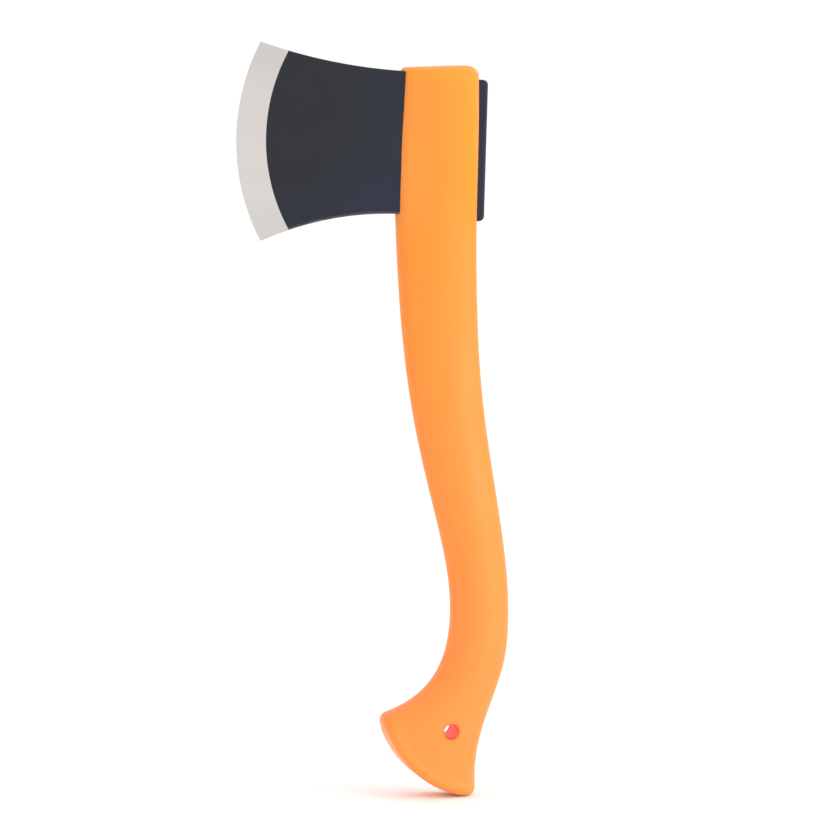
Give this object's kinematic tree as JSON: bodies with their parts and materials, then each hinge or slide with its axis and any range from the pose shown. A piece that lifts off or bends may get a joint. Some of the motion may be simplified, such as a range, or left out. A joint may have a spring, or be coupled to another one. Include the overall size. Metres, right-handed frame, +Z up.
{
  "type": "hatchet",
  "caption": "Camping hatchet: coated wedge head with a bright ground edge and a poll, in a curved plastic handle with a lanyard hole in its knob.",
  "frame": {"origin": "centre of the lanyard hole, on the mid-plane", "axes": "+Z up the handle to the head, -X towards the cutting edge, +X towards the poll, Y along the lanyard hole across the thickness; the hatchet is symmetric about Y = 0"},
  "size_m": [0.1173, 0.0258, 0.3224],
  "materials": {
    "head_coat": "satin black coat, bright brushed steel on the ground bevel",
    "handle_plastic": "fine satin moulded texture"
  },
  "bodies": {
    "root": {"axe_head": "head_coat", "handle": "handle_plastic"}
  },
  "joints": []
}
